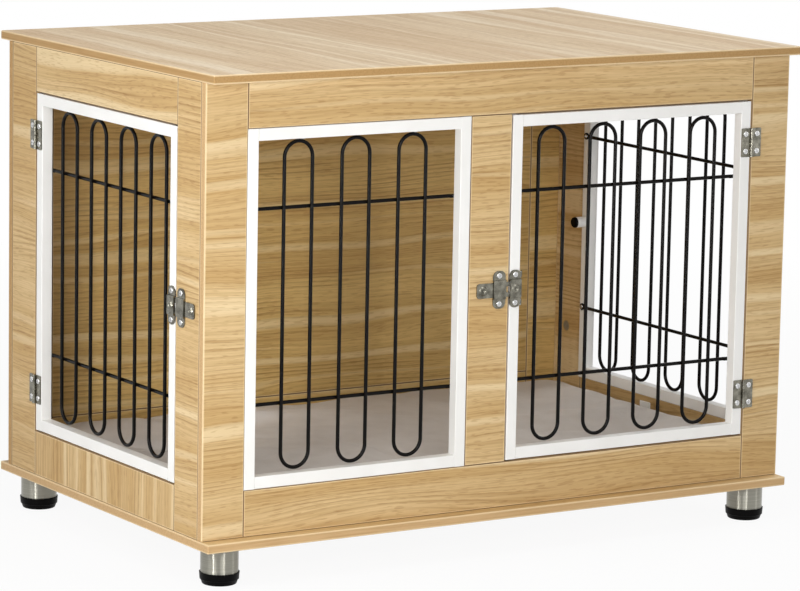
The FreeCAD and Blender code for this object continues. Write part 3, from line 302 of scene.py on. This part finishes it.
# %% [markdown]
# ## Which way each board was cut
# The grain lies level on every wall, also across the upright boards, as if the wall came out of one
# sheet. Two boards differ: on the top it runs from front to back, and on the bottom rail of the
# left side it stands upright. The top and the rear wall have palettes with painted light: the top
# is paler for the sheen of light on it, and the rear wall is warmer and brighter for the light
# bounced inside the cabin.

# %% Grain and tone of each board
GRAIN = {"top_board": "y", "left_side_bottom_rail": "z"}
# Painted light: the top board takes the paler palette for its sheen, and the rear boards take the
# warmer, brighter one for the light bounced inside.
SHADE = {"top_board": "top"}
boards = sorted(pieces_of("oak_board"))
for seed, board in enumerate(boards, start=1):
    sideways = "y" if "_side_" in board else "x"
    default = "inside" if board.startswith("rear") else "front"
    cover(board, oak_foil(board, GRAIN.get(board, sideways), seed, SHADE.get(board, default)))
print("boards in oak foil:", len(boards))

# %% [markdown]
# ## The frames and the wires: powder coat
# The square tubes are welded and then powder coated. Powder melts into a thick, even skin with
# a soft gloss and the faint waviness that painters call orange peel. The wire grilles have the
# same skin in black, where the gloss shows as a thin bright line along each wire.

# %% Powder coats
PEEL = 2.5 * MM  # real orange peel is about 1 mm
COAT_CLOUD = 60 * MM


def powder_coat(name, colours, gloss, level):
    """Powder coated steel: even colour, soft gloss and orange peel."""
    material, node = finish(name)
    point = node("TexCoord", {}, "Object")
    cloud = node("TexNoise", {"Vector": point, "Scale": 1 / COAT_CLOUD, "Detail": 2.0})
    tint = node("ValToRGB", {0: cloud}, stops=zip((0.35, 0.7), colours))
    peel = node("TexNoise", {"Vector": point, "Scale": 1 / PEEL, "Detail": 1.0})
    rough = node("MapRange", {0: peel, 3: gloss[0], 4: gloss[1]})
    bump = node("Bump", {"Height": peel, "Strength": 0.1, "Distance": 0.1 * MM})
    surface = {"Base Color": tint, "Roughness": rough, "Normal": bump}
    shader = node("BsdfPrincipled", surface | {"IOR": 1.5, "Specular IOR Level": level})
    node("OutputMaterial", {"Surface": shader})
    return material


white_coat = powder_coat("white_powder_coat", ("#f3f2ef", "#eeede9"), (0.34, 0.44), 0.5)
black_coat = powder_coat("black_powder_coat", ("#090706", "#0e0b09"), (0.14, 0.22), 0.1)
for slot, coat in (("white_frame", white_coat), ("black_wire", black_coat)):
    for piece in pieces_of(slot):
        cover(piece, coat)
    print(coat.name, "on", len(pieces_of(slot)), "pieces")

# %% [markdown]
# ## The hardware: plated steel
# Hinges and latches are stamped from sheet steel and nickel plated, so they keep the tumbler's
# fine scratches and a grey, cloudy shine. The screws are brighter, with zinc over bare steel,
# and the cam locks are cast zinc. They are all metals: their colour is the colour of their
# reflection, and roughness tells them apart.

# %% Plated metals


def plated_metal(name, colours, gloss, cloud_size, scratch_size):
    """Metal with a cloudy colour and fine scratches that change its gloss."""
    material, node = finish(name)
    point = node("TexCoord", {}, "Object")
    cloud = node("TexNoise", {"Vector": point, "Scale": 1 / (cloud_size * MM), "Detail": 3.0})
    tint = node("ValToRGB", {0: cloud}, stops=zip((0.3, 0.7), colours))
    scratch = node("TexNoise", {"Vector": point, "Scale": 1 / (scratch_size * MM), "Detail": 2.0})
    rough = node("MapRange", {0: scratch, 3: gloss[0], 4: gloss[1]})
    bump = node("Bump", {"Height": scratch, "Strength": 0.15, "Distance": 0.05 * MM})
    surface = {"Base Color": tint, "Roughness": rough, "Normal": bump, "Metallic": 1.0}
    node("OutputMaterial", {"Surface": node("BsdfPrincipled", surface)})
    return material


nickel = plated_metal("nickel_plated_steel", ("#928f83", "#58564d"), (0.15, 0.34), 9, 2)
zinc = plated_metal("zinc_plated_screws", ("#d4d4d4", "#bcbcbb"), (0.16, 0.3), 4, 2)
casting = plated_metal("die_cast_zinc", ("#a9aaad", "#96979a"), (0.36, 0.5), 3, 1)
hardware = (("plated_steel", nickel), ("screw_steel", zinc), ("zinc_fitting", casting))
for slot, metal in hardware:
    for piece in pieces_of(slot):
        cover(piece, metal)
    print(metal.name, "on", len(pieces_of(slot)), "pieces")

# %% [markdown]
# ## The legs: brushed stainless tube
# The legs are stainless tube, brushed while they turn. The tiny grooves run round the tube, so
# light spreads up and down and stays narrow from side to side: each lamp becomes an upright
# streak. The shader calls this anisotropy. Its tangent is the direction round the tube, worked
# out from the normal, and a quarter turn lays the spread upright.

# %% Brushed stainless
GROOVE = 0.6 * MM  # real grooves are finer than 0.1 mm
GROOVE_LENGTH = 60 * MM  # round the tube

material, node = finish("brushed_stainless")
point = node("TexCoord", {}, "Object")
fineness = [1 / GROOVE_LENGTH, 1 / GROOVE_LENGTH, 1 / GROOVE]
grooves = node("VectorMath", {0: point, 1: fineness}, operation="MULTIPLY")
grooves = node("TexNoise", {"Vector": grooves, "Scale": 1.0, "Detail": 3.0})
tint = node("ValToRGB", {0: grooves}, stops=[(0.3, "#9b998f"), (0.7, "#8a887e")])
rough = node("MapRange", {0: grooves, 3: 0.27, 4: 0.37})
bump = node("Bump", {"Height": grooves, "Strength": 0.1, "Distance": 0.03 * MM})
normal = node("NewGeometry", {}, "Normal")
around = node("VectorMath", {0: normal, 1: [0, 0, 1]}, operation="CROSS_PRODUCT")
surface = {"Base Color": tint, "Roughness": rough, "Normal": bump, "Tangent": around}
surface |= {"Metallic": 1.0, "Anisotropic": 1.0, "Anisotropic Rotation": 0.25}
node("OutputMaterial", {"Surface": node("BsdfPrincipled", surface)})
for piece in pieces_of("leg_steel"):
    cover(piece, material)
print(material.name, "on", len(pieces_of("leg_steel")), "pieces")

# %% [markdown]
# ## The small parts: moulded plastic and turned beech
# The foot caps and the end plug are moulded in black polypropylene from a spark-eroded mould,
# which leaves a fine dull grain. The dowels are beech. They lie inside the boards, and show
# only if the table is taken apart.

# %% Plastic and dowels


def grained(name, colours, gloss, grain_size, level):
    """A solid material with a fine grain, of the given size along x, y and z."""
    material, node = finish(name)
    fineness = [1 / (size * MM) for size in grain_size]
    point = node("TexCoord", {}, "Object")
    grain = node("VectorMath", {0: point, 1: fineness}, operation="MULTIPLY")
    grain = node("TexNoise", {"Vector": grain, "Scale": 1.0, "Detail": 3.0})
    tint = node("ValToRGB", {0: grain}, stops=zip((0.3, 0.7), colours))
    rough = node("MapRange", {0: grain, 3: gloss[0], 4: gloss[1]})
    bump = node("Bump", {"Height": grain, "Strength": 0.2, "Distance": 0.05 * MM})
    surface = {"Base Color": tint, "Roughness": rough, "Normal": bump}
    shader = node("BsdfPrincipled", surface | {"IOR": 1.49, "Specular IOR Level": level})
    node("OutputMaterial", {"Surface": shader})
    return material


plastic = grained("moulded_polypropylene", ("#030303", "#070606"), (0.34, 0.46), (1, 1, 1), 0.06)
beech = grained("turned_beech", ("#d8b98c", "#c9a777"), (0.54, 0.66), (1.5, 1.5, 20), 0.5)
for slot, material in (("black_plastic", plastic), ("beech_dowel", beech)):
    for piece in pieces_of(slot):
        cover(piece, material)
    print(material.name, "on", len(pieces_of(slot)), "pieces")

# %% [markdown]
# ## The cushion: a fibre-filled fabric cover
# The cushion fills the floor of the cabin. Its cover is cut flat and stuffed, so it is fullest
# in the middle of each panel, its sides pull in between the corners, and the slack gathers in
# long soft folds. We take the frame's closed form a little smaller, turn it into an even mesh,
# set its top to a low dome, as fibre fills it, and relax it so that the dome runs over into the
# rounded edge.

# %% Even mesh of the cushion
VOXEL = 6.0 * MM
START_SMALLER = 2.0 * MM
CROWN_EDGE, CROWN_RISE = 48.0 * MM, 3.0 * MM  # height of the filled top, and of its dome
CROWN_FROM = 0.3  # where the dome starts, inside the rounded edge
FACING_UP = 0.2   # how far a point's normal has to look up to belong to the top
RELAX = 6         # rounds that even out the small steps
cushion_low, cushion_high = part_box("cushion")
cushion_middle = (cushion_low + cushion_high) / 2
cushion_half = (cushion_high - cushion_low) / 2


def applied(piece, name):
    """The piece's mesh with its modifiers worked in."""
    graph = bpy.context.evaluated_depsgraph_get()
    mesh = bpy.data.meshes.new_from_object(piece.evaluated_get(graph))
    mesh.name = name
    return mesh


cushion = bpy.data.objects.new("cushion_cover", frame["nodes"]["cushion"].data.copy())
scene.collection.objects.link(cushion)
for vertex in cushion.data.vertices:
    for axis in range(3):
        share = 1 - START_SMALLER / cushion_half[axis]
        offset = vertex.co[axis] - cushion_middle[axis]
        vertex.co[axis] = cushion_middle[axis] + offset * share
remesh = cushion.modifiers.new("even", "REMESH")
remesh.mode, remesh.voxel_size = "VOXEL", VOXEL
even = applied(cushion, "cushion_even")
cushion.modifiers.clear()
cushion.data = even
for vertex in even.vertices:  # a half circle along x times one along y makes the dome
    domes = [math.sqrt(max(0.0, 1 - (vertex.co[i] / cushion_half[i]) ** 2)) for i in (0, 1)]
    crown = cushion_low.z + CROWN_EDGE + CROWN_RISE * domes[0] * domes[1]
    if vertex.normal.z > FACING_UP and min(domes) > CROWN_FROM:
        vertex.co.z = crown
relax = cushion.modifiers.new("relax", "SMOOTH")
relax.iterations = RELAX
relaxed = applied(cushion, "cushion_relaxed")
cushion.modifiers.clear()
cushion.data = relaxed
print("cushion mesh:", len(relaxed.vertices), "points")

# %% [markdown]
# ## Puff it up
# Cloth simulation blows the cover up like a balloon for a moment. It swells far more than the
# cabin has room for, so every point is cut back to a few millimetres from where it started. What
# is left is a slight tightness all round.

# %% Cloth simulation with a cap
PRESSURE = 4.0
PUFF_FRAMES = 20
PUFF_CAP = 5.0 * MM
start = [vertex.co.copy() for vertex in cushion.data.vertices]
cloth = cushion.modifiers.new("cloth", "CLOTH")
cloth.settings.use_pressure = True
cloth.settings.uniform_pressure_force = PRESSURE
cloth.settings.effector_weights.gravity = 0.0
cloth.point_cache.frame_end = PUFF_FRAMES
for moment in range(1, PUFF_FRAMES + 1):
    scene.frame_set(moment)
puffed = applied(cushion, "cushion_puffed")
cushion.modifiers.clear()
cushion.data = puffed
scene.frame_set(1)
steps = [vertex.co - before for vertex, before in zip(cushion.data.vertices, start)]
for vertex, before, step in zip(cushion.data.vertices, start, steps):
    if step.length > PUFF_CAP:
        vertex.co = before + step * (PUFF_CAP / step.length)
print(f"furthest point wanted {max(s.length for s in steps) / MM:.1f} mm, cap {PUFF_CAP / MM:.0f}")

# %% [markdown]
# ## Folds and full corners
# Slack fabric folds in straight soft ridges that start at a corner or an edge and fade out
# towards the middle. Each fold is a line with a width and a height, and a point rises by how
# near it lies to that line. The fibre gathers along the walls and most of all in the corners, so
# the cushion stands a little higher there, and the walls hold its edge straight.

# %% Folds and corners
EDGE_LIFT, CORNER_LIFT = 10.0 * MM, 5.0 * MM
TOP_LIMIT = 5.0 * MM  # above the frame's form, and below the window frames
TOP_SOFT = 1.5 * MM   # height over which a fold flattens out under that limit
EDGE_POWER = 12       # keeps the lift at the walls narrow
CORNER_POWER = 3      # keeps the lift of the corners in the corners
SIDE_TOP, SIDE_BLEND = 0.45, 0.4  # shares of the height from which the lift sets in and grows
FAR = 20              # with more room than this, counted in TOP_SOFT, the limit changes nothing
FLOOR_GAP = 0.3 * MM
FOLDS = 34
FOLD_START = 0.97     # share of the way out to the wall
FOLD_AIM = (0.3, 0.2)  # a fold points to within this of the middle along x and y, in metres
FOLD_LENGTH = (0.15, 0.4)  # in metres
FOLD_WIDTH, FOLD_HEIGHT = (11, 32), (4.0, 8.0)  # half width and height, in millimetres
FOLD_FADE = 0.6       # less than 1 keeps the height along more of the fold
draws = random.Random(12)


def fold_lines():
    """Folds as start, direction, length, half width and height, in metres."""
    lines = []
    for number in range(FOLDS):
        side = draws.choice((-1, 1))
        if number % 2:
            at = Vector((side * cushion_half.x, draws.uniform(-1, 1) * cushion_half.y, 0))
        else:
            at = Vector((draws.uniform(-1, 1) * cushion_half.x, side * cushion_half.y, 0))
        target = [draws.uniform(-reach, reach) for reach in FOLD_AIM]
        aim = Vector((*target, 0)) - at
        lines.append((
            at * FOLD_START, aim.normalized(), draws.uniform(*FOLD_LENGTH),
            draws.uniform(*FOLD_WIDTH) * MM,
            draws.uniform(*FOLD_HEIGHT) * MM * draws.choice((1, -1)),
        ))
    return lines


def fold_rise(flat, line):
    """How much one fold lifts a point."""
    at, aim, length, width, tall = line
    reach = (flat - at).dot(aim) / length
    if not 0 < reach < 1:
        return 0.0
    beside = (flat - at - aim * reach * length).length
    return tall * math.sin(math.pi * reach) ** FOLD_FADE * math.exp(-(beside / width) ** 2)


lines = fold_lines()
floor_level = cushion_low.z + FLOOR_GAP
ceiling = cushion_high.z + TOP_LIMIT
for vertex in cushion.data.vertices:
    flat = Vector((vertex.co.x, vertex.co.y, 0))
    out_x, out_y = (min(1.0, abs(flat[axis]) / cushion_half[axis]) for axis in (0, 1))
    height = (vertex.co.z - cushion_low.z) / (2 * cushion_half.z)
    upper = max(0.0, min(1.0, (height - SIDE_TOP) / SIDE_BLEND))
    edge = max(out_x, out_y) ** EDGE_POWER  # 1 at a wall, and almost 0 beyond a hand's width
    rise = EDGE_LIFT * edge + CORNER_LIFT * (out_x * out_y) ** CORNER_POWER
    rise += (1 - edge) * sum(fold_rise(flat, line) for line in lines)
    room = (ceiling - vertex.co.z - rise * upper) / TOP_SOFT
    room = room if room > FAR else math.log1p(math.exp(room))  # bends softly towards 0
    vertex.co.z = max(ceiling - room * TOP_SOFT, floor_level)
    for axis in (0, 1):
        limit = cushion_half[axis]
        vertex.co[axis] = max(-limit, min(limit, vertex.co[axis]))
smooth = cushion.modifiers.new("smooth", "SUBSURF")
smooth.levels = smooth.render_levels = 1
cushion.data = applied(cushion, "cushion_cover")
cushion.modifiers.clear()
cushion.data.polygons.foreach_set("use_smooth", [True] * len(cushion.data.polygons))
print("folds:", len(lines), "highest point:", round(max(v.co.z for v in cushion.data.vertices), 4))

# %% [markdown]
# ## The cushion's cloth: plain weave
# The cover is a brushed plain weave in pale lilac grey. Two sets of threads cross, so two wave
# textures at right angles make its bump, and a soft noise clouds the colour as brushed cloth
# does. A little sheen stands for the raised fibres. Real threads are about 0.4 mm apart and
# would blur into nothing here, so they are drawn at 1.5 mm.

# %% Plain weave
THREAD = 1.5 * MM
WAVES_PER_UNIT = 0.314  # the wave texture's scale at which one band is one unit wide
CLOTH_CLOUD = 35 * MM


def plain_weave(name, colours):
    """Brushed plain weave: crossing threads, a clouded colour and a little sheen."""
    material, node = finish(name)
    point = node("TexCoord", {}, "Object")
    wave = {"Vector": point, "Scale": WAVES_PER_UNIT / THREAD, "Distortion": 0.4}
    warp = node("TexWave", wave, "Fac", bands_direction="X")
    weft = node("TexWave", wave, "Fac", bands_direction="Y")
    threads = node("Math", {0: warp, 1: weft}, operation="MULTIPLY")
    cloud = node("TexNoise", {"Vector": point, "Scale": 1 / CLOTH_CLOUD, "Detail": 4.0})
    tint = node("ValToRGB", {0: cloud}, stops=zip((0.32, 0.7), colours))
    dark = node("MapRange", {0: threads, 3: 0.88, 4: 1.0})
    woven = layered(node, tint, [(1.0, dark, "MULTIPLY")])
    rough = node("MapRange", {0: threads, 3: 0.92, 4: 0.8})
    bump = node("Bump", {"Height": threads, "Strength": 0.3, "Distance": 0.3 * MM})
    surface = {"Base Color": woven, "Roughness": rough, "Normal": bump}
    surface |= {"Sheen Weight": 0.25, "Sheen Roughness": 0.5, "IOR": 1.45}
    node("OutputMaterial", {"Surface": node("BsdfPrincipled", surface)})
    return material


cloth_cover = plain_weave("brushed_plain_weave", ("#dcd6d0", "#d2cbc4"))
cushion.data.materials.clear()
cushion.data.materials.append(cloth_cover)
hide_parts("cushion")
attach(cushion, "root")
print(cloth_cover.name, "on the cushion, with", len(cushion.data.polygons), "faces")

# %% [markdown]
# ## The welt round the seam
# A welt of the same cloth covers the seam round the side. We find the seam by shooting rays at
# the finished cushion from outside, at the height of the seam, and run a thin tube through the
# points that they hit.

# %% The welt
WELT_RADIUS = 1.6 * MM
WELT_HEIGHT = 26.0 * MM
WELT_POINTS = 240
WELT_SIDES = 8


def seam_point(angle):
    """Where a ray towards the middle meets the cushion at the height of the seam."""
    aim = Vector((math.cos(angle), math.sin(angle), 0))
    outside = Vector((0, 0, cushion_low.z + WELT_HEIGHT)) + aim * 2 * max(cushion_half)
    return cushion.ray_cast(outside, -aim)[1]


def closed_tube(name, path, radius, sides):
    """A closed tube along a level loop of points."""
    points, faces = [], []
    count = len(path)
    for i, at in enumerate(path):
        forward = (path[(i + 1) % count] - path[i - 1]).normalized()
        outward = forward.cross(Vector((0, 0, 1)))
        for j in range(sides):
            turn = 2 * math.pi * j / sides
            points.append(at + radius * (math.cos(turn) * outward + Vector((0, 0, math.sin(turn)))))
            corner = (i * sides + j, i * sides + (j + 1) % sides)
            ahead = [(number + sides) % (count * sides) for number in corner]
            faces.append((corner[0], corner[1], ahead[1], ahead[0]))
    mesh = bpy.data.meshes.new(name)
    mesh.from_pydata(points, [], faces)
    mesh.polygons.foreach_set("use_smooth", [True] * len(faces))
    return mesh


bpy.context.view_layer.update()
path = [seam_point(2 * math.pi * i / WELT_POINTS) for i in range(WELT_POINTS)]
welt_mesh = closed_tube("cushion_welt", path, WELT_RADIUS, WELT_SIDES)
welt = bpy.data.objects.new("cushion_welt", welt_mesh)
scene.collection.objects.link(welt)
welt.data.materials.append(cloth_cover)
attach(welt, "root")
print("welt points:", len(path))

# %% [markdown]
# ## The blank tab
# A short plain cotton tape is folded double and sewn into the right-hand edge. Its outline is two
# straight sides with a round fold on top, pushed along the edge.

# %% The tab
TAB_AT = (430.0, -5.0)  # place along x and y, all in millimetres
TAB_LENGTH, TAB_HEIGHT, TAB_HALF, TAB_SUNK = 24.0, 10.0, 0.9, 2.0
TAB_BEND = 8    # steps round the fold
ABOVE = 1000.0  # where the ray that finds the cushion's top starts

root = cushion.ray_cast(Vector((*TAB_AT, ABOVE)) * MM, Vector((0, 0, -1)))[1]
turns = [math.pi * i / TAB_BEND for i in range(TAB_BEND + 1)]
outline = [(TAB_HALF, -TAB_SUNK)]
outline += [
    (TAB_HALF * math.cos(turn), TAB_HEIGHT + TAB_HALF * math.sin(turn)) for turn in turns
]
outline += [(-TAB_HALF, -TAB_SUNK)]
count = len(outline)
points = [
    root + Vector((x, side * TAB_LENGTH / 2, z)) * MM for side in (-1, 1) for x, z in outline
]
faces = [(i, (i + 1) % count, (i + 1) % count + count, i + count) for i in range(count)]
faces += [tuple(reversed(range(count))), tuple(range(count, 2 * count))]
tab_mesh = bpy.data.meshes.new("cushion_tab")
tab_mesh.from_pydata(points, [], faces)
tab = bpy.data.objects.new("cushion_tab", tab_mesh)
scene.collection.objects.link(tab)
tab_mesh.materials.append(plain_weave("white_cotton_tape", ("#f4f3f0", "#e9e7e2")))
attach(tab, "root")
print("tab stands from", [round(value, 4) for value in root])

# %% [markdown]
# ## The studio
# The background is white for what the camera and the reflections see, and weak for what lights
# the table, so the boards keep their colour. The floor does the same: most of its white glows by
# itself, and the rest is paper that takes the shadow of the table. Further out it is all glow, so
# that no horizon shows.

# %% World and floor
AMBIENT = 0.08
FLOOR_RADIUS, FLOOR_SIDES = 60.0, 64
FLOOR_GLOW = 0.93  # how much of the floor's white doesn't depend on the lamps, near the table
GLOW_NEAR, GLOW_FAR = 1.0, 2.5  # metres from the middle between which the floor turns to glow

world = bpy.data.worlds.new("studio")
scene.world = world
world.use_nodes = True
world.node_tree.nodes.clear()
node = partial(add, world.node_tree)
ray = node("LightPath", {}).node.outputs
seen = node("Math", {0: ray["Is Camera Ray"], 1: ray["Is Glossy Ray"]}, operation="MAXIMUM")
seen = node("Math", {0: seen, 1: ray["Is Transmission Ray"]}, operation="MAXIMUM")
strength = node("MapRange", {0: seen, 3: AMBIENT, 4: 1.0})
sky = node("Background", {"Color": linear("#ffffff"), "Strength": strength})
node("OutputWorld", {"Surface": sky})

floor_mesh = bpy.data.meshes.new("floor")
turns = [2 * math.pi * i / FLOOR_SIDES for i in range(FLOOR_SIDES)]
rim = [(FLOOR_RADIUS * math.cos(turn), FLOOR_RADIUS * math.sin(turn), 0) for turn in turns]
floor_mesh.from_pydata(rim, [], [range(len(rim))])
floor = bpy.data.objects.new("floor", floor_mesh)
scene.collection.objects.link(floor)
paper, node = finish("white_paper_floor")
matt = node(
    "BsdfPrincipled",
    {"Base Color": linear("#e4e4e4"), "Roughness": 0.9, "Specular IOR Level": 0.1},
)
ray = node("LightPath", {}).node.outputs
seen = node("Math", {0: ray["Is Camera Ray"], 1: ray["Is Glossy Ray"]}, operation="MAXIMUM")
away = node("VectorMath", {0: node("TexCoord", {}, "Object")}, "Value", operation="LENGTH")
share = node("MapRange", {0: away, 1: GLOW_NEAR, 2: GLOW_FAR, 3: FLOOR_GLOW, 4: 1.0})
seen = node("Math", {0: seen, 1: share}, operation="MULTIPLY")
glow = node("Emission", {"Color": linear("#ffffff"), "Strength": 1.0})
node("OutputMaterial", {"Surface": node("MixShader", {0: seen, 1: matt, 2: glow})})
floor_mesh.materials.append(paper)
print("floor radius in metres:", FLOOR_RADIUS)

# %% [markdown]
# ## The lamps
# Two soft boxes stand on the left. The tall one is the key: it lights the front and the side
# alike, and its light fades to the right, as in the photograph. Smaller ones fill in from the
# front and the right, another shines through the right window onto the cushion, and a wide one
# hangs above. Two thin boxes stand low, where the brushed legs mirror them as upright streaks.

# %% Lamps
LAMPS = {  # azimuth and elevation in degrees, distance, width and height in metres, watts
    "left_key": (-56, 20, 2.4, 0.5, 1.6, 12.5),
    "left_side": (-85, 25, 2.4, 1.0, 1.2, 14.5),
    "front_left": (-24, 16, 2.2, 0.5, 0.5, 7.5),
    "front": (-12, 17, 2.6, 0.5, 0.5, 9),
    "right_strip": (50, 5, 2.6, 0.4, 0.6, 3),
    "right_window": (102, 35, 2.4, 0.8, 0.8, 14),
    "overhead": (-10, 78, 2.4, 1.6, 1.6, 24.5),
    "low_strip_left": (-64, -3, 2.0, 0.1, 0.44, 6),
    "low_strip_right": (-11, -3, 2.6, 0.12, 0.44, 5),
}
LAMP_AIM = Vector((0, 0, 0.36))
for name, (azimuth, elevation, distance, width, height, watts) in LAMPS.items():
    lamp = bpy.data.objects.new(name, bpy.data.lights.new(name, "AREA"))
    lamp.data.shape = "RECTANGLE"
    lamp.data.size, lamp.data.size_y, lamp.data.energy = width, height, watts
    turn, rise = math.radians(azimuth), math.radians(elevation)
    level = Vector((math.sin(turn), -math.cos(turn), 0)) * math.cos(rise)
    back = level + Vector((0, 0, math.sin(rise)))
    lamp.location = LAMP_AIM + back * distance
    lamp.rotation_euler = back.to_track_quat("Z", "Y").to_euler()
    lamp.visible_camera = False
    scene.collection.objects.link(lamp)
print("lamps:", list(LAMPS))
